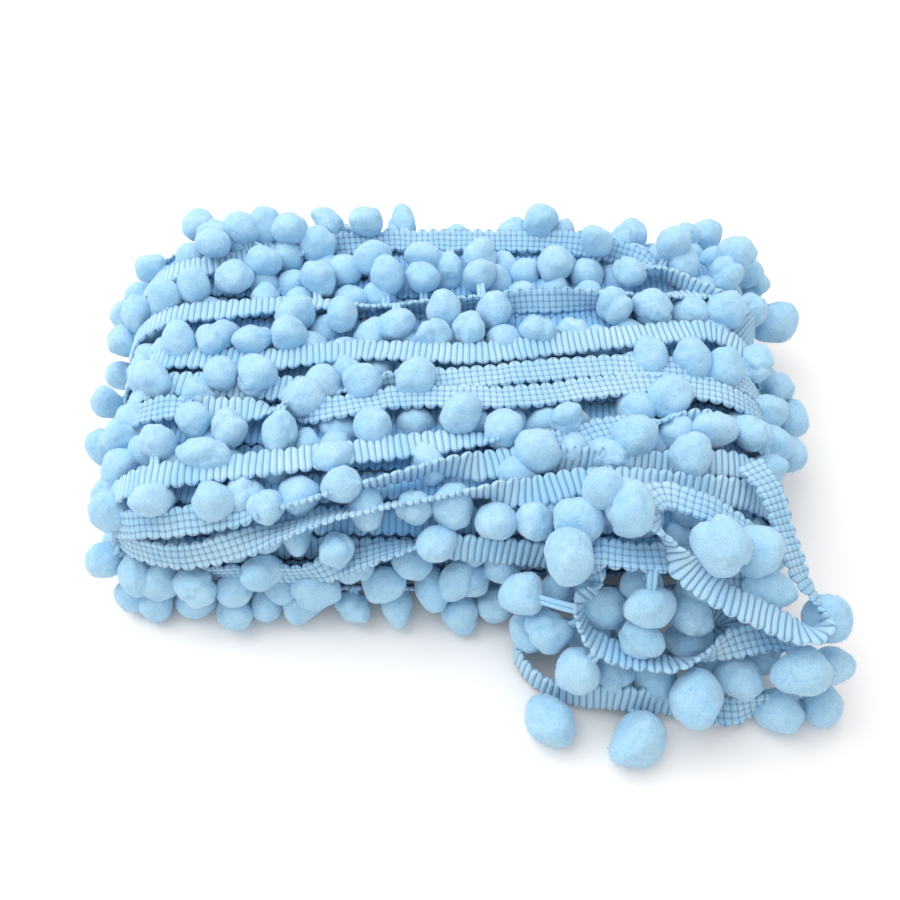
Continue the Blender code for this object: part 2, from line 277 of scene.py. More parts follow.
# The inner turns wear a darker copy of the heading yarn: painted shade.
shadedInnerYarn = makeThreadFinish("shadedInnerYarn", True, "shadedInnerPale", "shadedInnerMiddle")
stemYarn = makeThreadFinish("stemYarn", False, "pale", "middle")
# The core wears the same darker copy of the yarn: painted shade.
shadedCoreYarn = makeThreadFinish("shadedCoreYarn", False, "shadedInnerPale", "shadedInnerMiddle")
print("yarn finishes made")


# The hank's even surface, shared by all that lies on it.
hank = {"halfLong": 75.0, "flare": 0.1, "front": 42.0, "back": 48.0, "high": 33.0,
        "endRound": 16.0, "sideRound": 11.0, "coreRound": 13.0, "coreInset": 2.6, "corner": 0.5}


def hankPoint(along, across, lift, corner=0.0):
    depth = hank["back"] if across > 0 else hank["front"]
    flat = hank["halfLong"] + hank["flare"] * across - hank["endRound"]
    bend = min(max(abs(along) - flat, 0) / hank["endRound"], math.pi)
    roll = min(max(abs(across) - (depth - hank["sideRound"]), 0) / hank["sideRound"], math.pi)
    under = max(abs(along) - flat - hank["endRound"] * math.pi, 0)
    x = min(abs(along), flat) - under + (hank["endRound"] + lift) * math.sin(bend)
    y = min(abs(across), depth - hank["sideRound"])
    y += (hank["sideRound"] + lift) * math.sin(roll) * max(abs(math.cos(bend)), corner)
    z = hank["high"] / 2 + (hank["high"] / 2 + lift) * math.cos(roll) * math.cos(bend)
    return Vector((math.copysign(x, along), math.copysign(y, across), z))


def smoothRow(row, step):
    knots = [Vector(point) for point in row]
    knots.insert(0, knots[0] * 2 - knots[1])
    knots.append(knots[-1] * 2 - knots[-2])
    points = []
    for index in range(1, len(knots) - 2):
        before, start, end, after = knots[index - 1:index + 3]
        count = max(1, round((end - start).length / step))
        for part in range(count):
            t = part / count
            bow = (before * -1 + start * 3 - end * 3 + after) * t ** 3
            bow += (before * 2 - start * 5 + end * 4 - after) * t ** 2
            bow += (end - before) * t
            points.append(start + bow * 0.5)
    points.append(knots[-2])
    return points


def turnFrames(places, normals, rolls):
    made = []
    for index, place in enumerate(places):
        ahead = places[min(index + 1, len(places) - 1)]
        behind = places[max(index - 1, 0)]
        tangent = (ahead - behind).normalized()
        side = normals[index].cross(tangent).normalized()
        upright = tangent.cross(side)
        roll = math.radians(rolls[index])
        normal = upright * math.cos(roll) + side * math.sin(roll)
        made.append((place, normal.cross(tangent), normal))
    return made


def hankFrames(route, step=1.5):
    points = smoothRow(route, step)
    places = [hankPoint(*point[:3], hank["corner"]) for point in points]
    above = [hankPoint(point[0], point[1], point[2] + 1, hank["corner"]) for point in points]
    normals = [(high - low).normalized() for high, low in zip(above, places)]
    return turnFrames(places, normals, [point[3] for point in points])


# The heading: two ribs of it are modelled once, straight, and every run is laid from copies.
heading = {"wide": 6.0, "rib": 1.45, "ribHigh": 0.55, "base": 0.1, "chains": 4, "chainHigh": 0.4,
           "scallop": 0.95, "scallopMiddle": 0.7, "rimThick": 0.2, "ridge": 0.12, "slant": 0.03,
           "wobble": 0.3, "wobbleSize": 5.0, "wobbleSeed": 1}
noise.seed_set(heading["wobbleSeed"])  # without it the wobble would differ from run to run


def makeUnit(name, ribRings, columns):
    long = heading["rib"] * 2
    bpy.ops.mesh.primitive_cube_add(size=1, location=(long / 2 * mm, 0, 0),
                                    scale=(long * mm, heading["wide"] * mm, mm))
    unit = bpy.context.active_object
    unit.name = name
    bpy.ops.object.transform_apply(location=True, rotation=True, scale=True)
    editMode(unit, "FACE")
    selectWhere(unit, "faces", lambda face: abs(face.normal.x) > 0.9)
    bpy.ops.mesh.delete(type="ONLY_FACE")
    bpy.ops.mesh.select_mode(type="EDGE")
    for axis, cuts in ((0, ribRings * 2 - 1), (1, columns - 1)):
        def runs(edge, axis=axis):
            way = edge.verts[1].co - edge.verts[0].co
            return abs(way[axis]) > way.length * 0.9
        selectWhere(unit, "edges", runs)
        bpy.ops.mesh.subdivide(number_cuts=cuts)
    objectMode()
    for vert in unit.data.vertices:
        shapeHeading(vert, long)
    return unit


def shapeHeading(vert, long):
    x, y, z = vert.co / mm
    rise = abs(math.sin(math.pi * x / heading["rib"])) ** 0.8
    bulge = abs(math.sin(math.pi * x / long)) ** 0.6
    chain = math.sin(math.pi * y * heading["chains"] / heading["wide"]) ** 2
    outer = max(abs(y) / heading["wide"] * 2 - 0.5, 0) * 2
    y += math.copysign(heading["scallop"], y) * (bulge - heading["scallopMiddle"]) * outer
    if outer > 0.95:
        z = math.copysign(heading["rimThick"] * (1 + bulge), z)
    elif z > 0:
        z = heading["base"] + heading["ribHigh"] * rise
    else:
        z = -heading["base"] - heading["chainHigh"] * chain * (0.5 + 0.5 * rise)
        z -= heading["ridge"] * rise
    vert.co = Vector((x, y, z)) * mm


def layHeading(unit, name, frames, closed=False):
    places = np.array([place for place, side, normal in frames])
    sides = np.array([side for place, side, normal in frames])
    normals = np.array([normal for place, side, normal in frames])
    gaps = np.linalg.norm(np.diff(places, axis=0), axis=1)
    reach = np.concatenate(([0], np.cumsum(gaps)))
    count = max(1, round(reach[-1] / (heading["rib"] * 2)))
    run = copyOf(unit, Matrix.Identity(4))
    run.name = name
    applyModifier(run, "ARRAY", {
        "count": count, "use_relative_offset": False, "use_constant_offset": True,
        "constant_offset_displace": (heading["rib"] * 2 * mm, 0, 0),
        "use_merge_vertices": True, "merge_threshold": 0.02 * mm})
    if not closed:
        editMode(run, "EDGE")
        bpy.ops.mesh.select_all(action="SELECT")
        bpy.ops.mesh.fill_holes(sides=0)
        objectMode()
    mesh = run.data
    flat = np.empty(len(mesh.vertices) * 3)
    mesh.vertices.foreach_get("co", flat)
    flat = flat.reshape(-1, 3) / mm
    weave = mesh.uv_layers.new(name="weave")
    for face in mesh.polygons:
        reverse = 2.0 if face.normal.z < 0 else 0.0
        for corner in face.loop_indices:
            x, y, z = flat[mesh.loops[corner].vertex_index]
            weave.data[corner].uv = (x / heading["rib"], y / heading["wide"] + reverse)
    length = count * heading["rib"] * 2
    station = flat[:, 0] + flat[:, 1] * heading["slant"]
    if closed:
        station = np.mod(station / length, 1.0) * reach[-1]
    else:
        station = np.clip(station / length, 0, 1) * reach[-1]
    laid = np.zeros_like(flat)
    for axis in range(3):
        laid[:, axis] = np.interp(station, reach, places[:, axis])
        laid[:, axis] += np.interp(station, reach, sides[:, axis]) * flat[:, 1]
        laid[:, axis] += np.interp(station, reach, normals[:, axis]) * flat[:, 2]
    for row in laid:
        sway = noise.noise_vector(Vector(row) / heading["wobbleSize"])
        row += np.array(sway) * heading["wobble"]
    laid[:, 2] = np.maximum(laid[:, 2], 0.02)
    mesh.vertices.foreach_set("co", (laid * mm).ravel())
    if closed:
        editMode(run, "VERT")
        bpy.ops.mesh.select_all(action="SELECT")
        bpy.ops.mesh.remove_doubles(threshold=0.01 * mm)
        objectMode()
    mesh.update()
    return run


fineUnit = makeUnit("fineUnit", 4, 8)
plainUnit = makeUnit("plainUnit", 2, 4)
print("heading units modelled")

# Turns that show on top: along, across, lift and roll, where roll 0 shows the ribs and 180 the
# chains, and a whole turn more is the same.
turns = {
    "back": ((-66, 30, 3, 0), (-42, 36, 3, -10), (-36, 38, 3, 10), (-23, 40, 3, 130),
             (-10, 42, 3, 134), (12, 42, 3, 134), (27, 41, 3, 134), (40, 38, 3, 134),
             (48, 33, 4, 150), (56, 27, 4, 250), (70, 17, 3, 290)),
    "second": ((-70, 14, 3, 0), (-52, 16, 3, 5), (-34, 18, 3, 15), (-10, 18, 2, 60),
               (10, 19, 2, 90), (24, 20, 2, 130), (46, 20, 3, 60), (70, 22, 3, 10)),
    "third": ((-70, 1, 3, 0), (-40, 0, 3, 0), (-20, 2, 4, 5), (6, 1, 4, 0), (28, 4, 4, -5),
              (48, 7, 4, 0), (62, 9, 3, 0), (72, 6, 3, 0)),
    "fourth": ((-70, -14, 3, 180), (-58, -14, 3, 180), (-52, -15, 3, 330), (-42, -15, 3, 360),
               (-32, -15, 3, 470), (-24, -15, 4, 540), (-8, -12, 4, 540), (16, -12, 4, 540),
               (36, -9, 4, 540), (50, -8, 4, 540), (58, -10, 4, 540), (72, -12, 3, 540)),
    "fourthDouble": ((-70, -6, 2, 0), (-30, -8, 2, 0), (-6, -7, 3, 150), (10, -6, 4, 180),
                     (26, -4, 4, 180), (46, -3, 4, 180), (70, -5, 3, 180)),
    "fifth": ((-72, -33, 3, 0), (-45, -31, 4, 0), (-18, -27, 4, 0), (6, -23, 3, 20),
              (24, -24, 3, 160), (36, -20, 3, 180), (46, -18, 3, 220), (60, -19, 3, 350),
              (70, -20, 3, 360)),
    "sixth": ((-70, -40, 3, 180), (-54, -39, 4, 180), (-44, -38, 4, 190), (-36, -37, 4, 240),
              (-22, -35, 4, 262), (0, -31, 4, 270), (8, -30, 3, 330), (16, -28, 3, 360),
              (24, -28, 3, 300), (46, -29, 2, 320), (70, -28, 2, 360)),
    "front": ((-70, -44, 3, 180), (-54, -44, 4, 185), (-44, -42.5, 4, 195), (-34, -40.5, 4, 245),
              (-20, -38, 4, 262), (6, -35, 4, 270), (18, -35, 4, 350), (32, -33, 3, 360),
              (50, -34, 3, 330), (70, -35, 2, 360)),
    "frontLow": ((-70, -53, 1, 180), (-56, -51, 1, 180), (-46, -48, 3, 180), (-38, -48, 3, 190),
                 (-28, -47, 4, 180), (-20, -45, 4, 250), (-8, -43, 3, 280), (2, -43, 3, 350),
                 (18, -44, 3, 360), (40, -46, 3, 330), (70, -46, 3, 360)),
    "foot": ((-70, -55, 3, 0), (-20, -54, 3, 0), (10, -55, 3, 0), (70, -54, 3, 0)),
    "backLow": ((-70, 50, 3, 0), (-20, 51, 3, 0), (30, 50, 3, 0), (70, 51, 3, 0)),
    "backFoot": ((-70, 59, 3, 0), (-10, 58, 3, 0), (70, 59, 3, 0)),
}
turnEnd = {"reach": 102, "shoulder": 86, "lift": -1.5, "high": 1.5}
underTurns = {"first": -46, "last": 54, "pitch": 6.7, "lift": -1.0, "sway": 0.9, "parts": 8,
              "step": 2.5}


def makeTopTurns():
    made = {}
    for name, row in turns.items():
        flatRoll = round(row[-1][3] / 180) * 180
        first = (-turnEnd["reach"], row[0][1], turnEnd["lift"], row[0][3])
        last = (turnEnd["reach"], row[-1][1], turnEnd["lift"], flatRoll)
        left = (-turnEnd["shoulder"], row[0][1], turnEnd["high"], row[0][3])
        right = (turnEnd["shoulder"], row[-1][1], turnEnd["high"], flatRoll)
        made[name] = hankFrames((first, left, *row, right, last))
    return made


def makeUnderTurns():
    draw = random.Random(5)
    count = round((underTurns["last"] - underTurns["first"]) / underTurns["pitch"])
    parts = underTurns["parts"]
    pieces = []
    for index in range(count + 1):
        across = underTurns["first"] + index * underTurns["pitch"]
        half = 2 * (hank["halfLong"] + hank["flare"] * across - hank["endRound"])
        half += hank["endRound"] * math.pi
        sway = [draw.uniform(-1, 1) * underTurns["sway"] for _ in range(parts + 1)]
        sway[0] = sway[-1] = 0
        route = [(-half + 2 * half * part / parts, across + sway[part], underTurns["lift"], 0)
                 for part in range(parts + 1)]
        frames = hankFrames(route, underTurns["step"])
        pieces.append(layHeading(plainUnit, "under", frames, closed=True))
    return pieces


turnRuns = makeTopTurns()
upperNames = ("back", "second", "third", "fourth", "fourthDouble", "fifth")
upperTurns = joinPieces("hankHeadingUpper", [
    layHeading(fineUnit, name, turnRuns[name]) for name in upperNames], headingYarn)
lowerTurns = joinPieces("hankHeadingLower", [
    layHeading(fineUnit, name, turnRuns[name]) for name in turns if name not in upperNames],
    headingYarn)
innerTurns = joinPieces("hankHeadingInner", makeUnderTurns(), shadedInnerYarn)


def makeCore():
    middle = (hank["back"] - hank["front"]) / 2
    inset = hank["coreInset"]
    bpy.ops.mesh.primitive_cube_add(
        size=1, location=(0, middle * mm, (hank["high"] / 2) * mm),
        scale=((hank["halfLong"] - inset) * 2 * mm, (hank["back"] + hank["front"] - inset * 2) * mm,
               (hank["high"] - inset * 2) * mm))
    core = bpy.context.active_object
    bpy.ops.object.transform_apply(location=True, rotation=True, scale=True)
    editMode(core, "EDGE")
    bpy.ops.mesh.select_all(action="SELECT")
    bpy.ops.mesh.bevel(offset=hank["coreRound"] * mm, segments=4, profile=0.5)
    bpy.ops.mesh.select_all(action="SELECT")
    bpy.ops.mesh.subdivide(number_cuts=3)
    objectMode()
    for vert in core.data.vertices:
        vert.co.x *= 1 + hank["flare"] * vert.co.y / mm / hank["halfLong"]
    return joinPieces("hankCore", [core], shadedCoreYarn)


core = makeCore()


# Pompoms: a few balls are modelled and covered in short fibres, and each pompom is a copy.
pompom = {"size": 8.8, "kinds": 12, "dents": 0.9, "creaseDepth": 0.55, "creaseWide": 0.7,
          "inset": 0.1, "oval": 0.2, "fibres": 220, "fibreLong": 0.6, "fibreThick": 0.035,
          "uneven": 0.1, "press": 0.4, "creaseEvery": 4, "widen": 0.6}


def makeFuzz():
    tree = bpy.data.node_groups.new("fuzz", "GeometryNodeTree")
    tree.interface.new_socket(name="Geometry", in_out="INPUT", socket_type="NodeSocketGeometry")
    tree.interface.new_socket(name="Geometry", in_out="OUTPUT", socket_type="NodeSocketGeometry")
    start = tree.nodes.new("NodeGroupInput")
    end = tree.nodes.new("NodeGroupOutput")
    scatter = tree.nodes.new("GeometryNodeDistributePointsOnFaces")
    scatter.inputs["Density"].default_value = (
        pompom["fibres"] / (math.pi * (pompom["size"] * mm) ** 2))
    fibre = tree.nodes.new("GeometryNodeMeshCone")
    fibre.fill_type = "NONE"
    fibre.inputs["Vertices"].default_value = 3
    fibre.inputs["Radius Bottom"].default_value = pompom["fibreThick"] * mm
    fibre.inputs["Depth"].default_value = pompom["fibreLong"] * mm
    lean = tree.nodes.new("FunctionNodeRandomValue")
    lean.data_type = "FLOAT_VECTOR"
    lean.inputs[0].default_value = (-0.8, -0.8, -3.0)
    lean.inputs[1].default_value = (0.8, 0.8, 3.0)
    turn = tree.nodes.new("FunctionNodeRotateRotation")
    turn.rotation_space = "LOCAL"
    plant = tree.nodes.new("GeometryNodeInstanceOnPoints")
    real = tree.nodes.new("GeometryNodeRealizeInstances")
    both = tree.nodes.new("GeometryNodeJoinGeometry")
    for out, into in ((start.outputs[0], scatter.inputs["Mesh"]),
                      (scatter.outputs["Points"], plant.inputs["Points"]),
                      (scatter.outputs["Rotation"], turn.inputs[0]),
                      (lean.outputs[0], turn.inputs[1]),
                      (turn.outputs[0], plant.inputs["Rotation"]),
                      (fibre.outputs["Mesh"], plant.inputs["Instance"]),
                      (plant.outputs[0], real.inputs[0]),
                      (start.outputs[0], both.inputs[0]),
                      (real.outputs[0], both.inputs[0]),
                      (both.outputs[0], end.inputs[0])):
        tree.links.new(out, into)
    return tree


def makeBall(kind, detail, fuzz=None):
    bpy.ops.mesh.primitive_ico_sphere_add(
        subdivisions=detail, location=(0, 0, 0),
        radius=(pompom["size"] / 2 - pompom["inset"]) * mm)
    ball = bpy.context.active_object
    ball.name = "ball%d" % kind
    draw = random.Random(kind + 40)
    plane = Vector((draw.uniform(-1, 1), draw.uniform(-1, 1), draw.uniform(-1, 1))).normalized()
    shift = draw.uniform(-1.5, 1.5)
    oval = Vector((1 - draw.random() * pompom["oval"], 1, 1 + draw.random() * pompom["oval"]))
    creased = kind % pompom["creaseEvery"] == 0
    for vert in ball.data.vertices:
        way = vert.co.normalized()
        high = noise.noise(way * 0.9 + Vector((kind * 7.1, 0, 0))) * pompom["dents"]
        high += noise.noise(way * 2.1 + Vector((0, kind * 5.3, 0))) * pompom["dents"] * 0.3
        high += noise.noise(way * 7.0 + Vector((0, 0, kind * 3.7))) * pompom["dents"] * 0.07
        if creased:
            off = (vert.co / mm).dot(plane) - shift + noise.noise(way * 2.2) * 1.2
            high -= pompom["creaseDepth"] * math.exp(-(off / pompom["creaseWide"]) ** 2)
        vert.co = (vert.co + way * high * mm) * oval
    if fuzz is not None:
        applyModifier(ball, "NODES", {"node_group": fuzz})
    return ball


fuzz = makeFuzz()
balls = [makeBall(kind, 4, fuzz) for kind in range(pompom["kinds"])]
plainBalls = [makeBall(kind, 3) for kind in range(1, pompom["kinds"], 2)]
print("pompom kinds modelled:", [len(ball.data.polygons) for ball in balls])

# Rows of the hank's pompoms: lift, then along, across and the size where it isn't the usual one.
pompomRows = {
    "backEdge": (8, ((-65, 47), (-57, 34), (-51, 39), (-46, 40), (-39, 39), (-30, 42), (-20, 42),
                      (-11, 46), (25, 43), (38, 35), (52, 50, 9.6), (57, 34), (69, 49, 9.6),
                      (70, 33))),
    "behindFirst": (4, ((-74, 35), (-60, 42), (-45, 32), (-61, 23), (-67, 21), (-76, 22),
                         (-52, 26), (-32, 38), (-31, 26), (-18, 33), (-14, 27), (-5, 33),
                         (-5, 26), (9, 34), (9, 27), (28, 31, 9.6), (46, 28), (60, 31),
                         (69, 29, 9.6), (78, 38))),
    "secondRow": (4, ((-61, 5), (-53, 5), (-44, 5), (-36, 7), (-35, 14, 9.6), (-24, 13),
                       (-11, 10), (-2, 7), (0, 15), (6, 8), (12, 15), (22, 8), (41, 16, 9.6),
                       (50, 15), (75, 22))),
    "thirdRow": (4, ((-64, -6), (-50, -5), (-42, -6, 9.6), (-31, -12), (-27, -8), (-18, -8, 9.6),
                      (-6, -7, 9.6), (47, 0), (57, -1), (63, -3, 9.6), (50, -12, 9.6))),
    "fourthRow": (4, ((-70, -18), (-54, -18), (-46, -21, 9.6), (-35, -22, 9.6), (-60, -24),
                       (-50, -28, 9.6), (-15, -20), (-23, -28), (-21, -34), (4, -17, 9.6),
                       (13, -21), (20, -27, 9.6), (27, -18), (41, -23, 10.2), (52, -28, 9.6),
                       (58, -21), (66, -20))),
    "fifthRow": (4, ((-70, -37), (-59, -36), (-47, -36), (-36, -37), (11, -39), (19, -39))),
    "frontEdge": (4, ((-22, -43), (-1, -42), (-39, -47), (-13, -50), (3, -49), (-62, -52))),
    "deep": (1, ((-40, 37), (-25, 31), (1, 31), (36, 30), (28, 44), (-17, 9), (15, 7), (31, 10),
                 (60, 17), (-55, -9), (43, -13), (34, -26), (-30, -35), (27, -38), (2, -37),
                 (-19, -48), (-7, -47), (13, -48), (-41, -35), (-22, -3), (-3, -28), (-16, -37),
                 (-6, -37), (16, -31), (28, -25), (36, -27), (51, -20))),
}
# Rows that follow the back of the hank: across, first place, last place, pitch.
evenRows = {
    "backMiddle": (52, -66, 70, 12.0),
    "backUpper": (46, -58, 62, 15.0),
    "backFootRow": (61, -70, 70, 11.5),
}
# Pompoms in plain places round the ends and the front foot, with the size where it differs.
placedPompoms = {
    "leftEnd": ((-80, 35, 22), (-85, 32, 18), (-81.5, 18, 23), (-83.5, 14, 14), (-70.5, 0, 30),
                 (-83.5, 2, 18), (-69.5, -13, 30), (-81, -12, 18), (-70, -25, 29), (-80, -20, 11),
                 (-71, -33, 24), (-76, -40, 13), (-68, -43, 13), (-71, -44, 5), (-82, 26, 5),
                 (-80, 6, 6), (-79, -6, 6), (-76, -30, 5), (-76, 43, 8)),
    "rightEnd": ((79, 44, 28), (84, 41, 20), (80, 34, 12), (68, 16, 36), (86, 25, 22, 11),
                  (74, 3, 31), (82, 4, 21), (76, -7, 26), (86, -2, 16), (75.5, -15, 24),
                  (71, -25, 27), (82, -13, 17), (84, 16, 10), (80, 38, 5), (82, 24, 5),
                  (80, 8, 5), (80, -7, 5), (78, -20, 8), (76, -34, 6)),
    "frontFoot": ((-62, -44, 12), (-65, -46, 5), (-54, -47, 14, 10), (-56, -45, 5), (-47, -48, 5),
                  (-46, -46, 12), (-40, -46, 5), (-36, -44, 10), (-32, -47, 5), (-28, -46, 12, 10),
                  (-20.5, -47, 5), (-14, -45, 12), (-10.5, -47, 5), (-2.5, -46, 11), (4, -49, 5),
                  (6.5, -45, 14), (12, -47, 6), (12, -44, 21), (18, -44, 22)),
}
even = {"sway": 1.5, "lift": 4}

# The loose end: its heading's places and the roll of the ribbed face from facing up. It turns
# over on its way, so the rolls run on past 360.
looseRoute = (
    (64, -30, 37.5, 180), (67, -37, 37, 192), (69, -44, 34, 205), (71, -52, 31, 210),
    (74, -58, 29, 235), (74, -63, 28, 300), (69, -64, 29, 345), (60, -61, 32, 360),
    (54, -59, 34, 360), (49, -56, 36, 375), (46, -54, 38, 420), (44, -51, 40, 465),
    (41, -48, 42, 495), (40, -44, 43, 520), (44, -41, 42, 540), (51, -43, 41, 540),
    (59, -46, 38, 550), (64, -49, 33, 570), (62, -52, 29, 590), (56, -52, 29, 560),
    (46, -51, 34, 540), (38, -51, 35, 540), (31, -50, 35, 540), (28, -50, 32, 510),
    (31, -53, 28, 450), (28, -56, 25, 430), (29, -60, 21, 405), (33, -63, 19, 375),
    (40, -65, 18, 385), (47, -66, 18, 405), (54, -64, 18, 450), (60, -62, 19, 505),
    (66, -61, 19, 540), (73, -61, 16, 565), (76, -65, 11, 600), (75, -69, 7, 625),
    (67, -70, 6, 615), (62, -71, 5, 585), (58, -71, 4.5, 540), (53, -71, 5, 480),
    (49, -70, 6, 430), (38, -69, 6.5, 425), (29, -68, 5.5, 430), (23, -66, 4.5, 440),
    (18, -62, 4.5, 445), (16, -57, 4.5, 450), (18, -53, 5, 450), (24, -51, 6, 440),
    (32, -53, 7, 420), (40, -57, 8, 390), (48, -60, 8, 360), (56, -59, 9, 360),
    (62, -55, 11, 380), (59, -52, 14, 400), (50, -52, 16, 420), (42, -52, 15, 420),
    (36, -55, 12, 420),
)
# The loose end's pompoms: place and size, then how much of its height and depth a squashed one
# keeps.
loosePompoms = (
    (31.5, -40.5, 44, 9.6), (36, -45, 43.5, 11.2), (24.5, -52.5, 38, 11.2), (27, -44, 37.5, 9.6),
    (16.5, -52.5, 22, 10), (22, -58, 16, 10), (41, -58.5, 28.5, 10.8, 0.64),
    (40, -62, 21.5, 10.8, 0.7),
    (33.5, -54.5, 20, 9.6), (28, -66, 13.5, 10.4), (22.5, -73.5, 5.2, 10.4), (40, -77.5, 5.4, 10.8),
    (51.5, -71.5, 13, 10.8), (61.5, -66.5, 11, 9.6), (71.5, -68.5, 20, 10.8), (80, -65, 14, 10),
    (77.5, -59, 24, 10), (80, -69.5, 5.2, 9.6), (70.5, -71.5, 5.2, 9.6), (53, -52.5, 42, 11.2),
    (61.5, -50.5, 37, 10), (64.5, -55.5, 30, 8.8), (51, -57, 21, 10), (52, -59, 13, 9.6),
    (19, -55, 9, 8.8), (45, -65.5, 8, 9.6), (36.5, -64, 8, 9.6), (67.5, -60, 8, 9.6),
    (59, -61.5, 6, 9.6), (41, -52, 25, 9.6), (53, -51, 24, 9.6), (66.5, -53, 20, 9.6),
    (31.5, -57.5, 10, 9.6),
)
clearGap = 1.0


def looseFrames(step=1.5):
    points = smoothRow(looseRoute, step)
    up = Vector((0, 0, 1))
    return turnFrames([Vector(point[:3]) for point in points], [up] * len(points),
                      [point[3] for point in points])


def floorHeight(z, size):
    return max(z, size / 2 - pompom["press"])


def listHankPompoms(draw):
    for name, (lift, places) in pompomRows.items():
        for along, across, *size in places:
            yield name, hankPoint(along, across, lift), size[0] if size else pompom["size"]
    for name, (across, first, last, pitch) in evenRows.items():
        count = round((last - first) / pitch)
        for index in range(count + 1):
            along = first + (last - first) * index / count
            along += draw.uniform(-even["sway"], even["sway"])
            place = across + draw.uniform(-even["sway"], even["sway"])
            yield name, hankPoint(along, place, even["lift"]), pompom["size"]
    for name, places in placedPompoms.items():
        for x, y, z, *size in places:
            yield name, Vector((x, y, z)), size[0] if size else pompom["size"]


def placePompom(centre, size, draw, kinds, choices, squash=1.0):
    low, high = 1 - pompom["uneven"], 1 + pompom["uneven"]
    stretch = Matrix.Diagonal([draw.uniform(low, high) for _ in range(3)])
    axis = Vector((draw.random(), draw.random(), 0.5))
    turn = Matrix.Rotation(draw.uniform(0, math.pi), 4, axis)
    grow = Matrix.Scale(size / pompom["size"], 4)
    spin = kinds.choice([Matrix.Rotation(math.pi / 2 * step, 4, "X") for step in range(4)])
    wider = 1 + (1 - squash) * pompom["widen"]
    flatten = Matrix.Diagonal((wider, squash, squash, 1))
    shape = flatten @ turn @ stretch.to_4x4() @ grow @ spin
    return copyOf(kinds.choice(choices), Matrix.Translation(centre * mm) @ shape)


def pressOnFloor(piece):
    for vert in piece.data.vertices:
        vert.co.z = max(vert.co.z, 0.0)
    piece.data.update()


stem = {"thick": 1.15, "gap": 0.55, "sink": 2.5, "bow": 0.8, "reach": 13.0, "edgeInset": 0.6,
        "narrowing": 0.8}


def stemRows(frames, centre, size, draw):
    place, side, normal = min(frames, key=lambda item: (item[0] - centre).length)
    out = heading["wide"] / 2 - stem["edgeInset"]
    edges = [(place + side * (way * out), side * way) for way in (-1, 1)]
    start, outward = min(edges, key=lambda item: (item[0] - centre).length)
    way = centre - start
    if way.length > stem["reach"]:
        return []
    end = centre - way.normalized() * (size / 2 - stem["sink"])
    apart = way.cross(normal)
    apart = apart.normalized() if apart.length > 0.1 else Vector((1, 0, 0))
    bend = (outward + Vector([draw.uniform(-0.4, 0.4) for _ in range(3)])) * stem["bow"]
    rows = []
    for sign in (-1, 1):
        shift = apart * sign * stem["gap"]
        first, last = start + shift, end + shift * stem["narrowing"]
        middle = (first + last) / 2 + bend
        rows.append([(first * (1 - t) + middle * t) * (1 - t) + (middle * (1 - t) + last * t) * t
                     for t in (0, 0.25, 0.5, 0.75, 1)])
    return rows


def makeStems(name, rows):
    line = bpy.data.curves.new(name, "CURVE")
    line.dimensions = "3D"
    line.bevel_depth = stem["thick"] / 2 * mm
    line.bevel_resolution = 1
    line.use_fill_caps = True
    for row in rows:
        spline = line.splines.new("POLY")
        spline.points.add(len(row) - 1)
        for point, place in zip(spline.points, row):
            point.co = (*[max(value, 0) * mm if axis == 2 else value * mm
                          for axis, value in enumerate(place)], 1)
    piece = bpy.data.objects.new(name, line)
    bpy.context.scene.collection.objects.link(piece)
    activate(piece)
    bpy.ops.object.convert(target="MESH")
    return joinPieces(name, [bpy.context.active_object], stemYarn)


looseLine = looseFrames()
looseSpots = [(place, heading["wide"]) for place, side, normal in looseFrames(3.0)]
looseSpots += [(Vector((x, y, floorHeight(z, size))), size)
               for x, y, z, size, *squash in loosePompoms]
groups = {
    "pompomsBack": ("backEdge", "behindFirst", "backMiddle", "backUpper", "backFootRow"),
    "pompomsMiddle": ("secondRow", "thirdRow", "fourthRow", "deep"),
    "pompomsFront": ("fifthRow", "frontEdge", "frontFoot"),
    "pompomsEnds": ("leftEnd", "rightEnd"),
}


# Plain pompoms deep in the hank, wherever its turns and other pompoms leave a gap.
inner = {"alongReach": 88, "alongPitch": 7.3, "front": -44, "back": 48, "acrossPitch": 5.6,
         "lift": -1.0, "sway": 1.8, "clearTurn": 5.4, "clearPompom": 5.6, "size": 8.4}
innerPlaces = ((-74.5, 13, 22),)  # under the turns that bend round the left end
heapPlaces = ((24.5, -48.5, 15), (31.5, -47.5, 13), (55, -50, 9), (65, -45, 16))


def makeInnerPompoms(frames):
    draw, kinds = random.Random(12), random.Random(4)
    taken = [centre for row, centre, size in listHankPompoms(random.Random(17))]
    centres = [Vector(place) for place in innerPlaces]
    for row in range(int((inner["back"] - inner["front"]) / inner["acrossPitch"]) + 1):
        across = inner["front"] + row * inner["acrossPitch"]
        for column in range(int(inner["alongReach"] * 2 / inner["alongPitch"]) + 1):
            along = -inner["alongReach"] + column * inner["alongPitch"]
            sway = [draw.uniform(-1, 1) * inner["sway"] for _ in range(2)]
            centre = hankPoint(along + sway[0], across + sway[1], inner["lift"], hank["corner"])
            clear = all((centre - place).length > inner["clearTurn"] for place, _, _ in frames)
            if clear and all((centre - spot).length > inner["clearPompom"] for spot in taken):
                taken.append(centre)
                centres.append(centre)
    near = clearGap + inner["size"] / 2
    print("inner pompoms:", len(centres))
    return [placePompom(centre, inner["size"], draw, kinds, plainBalls) for centre in centres
            if all((centre - spot).length > near + width / 2 for spot, width in looseSpots)]


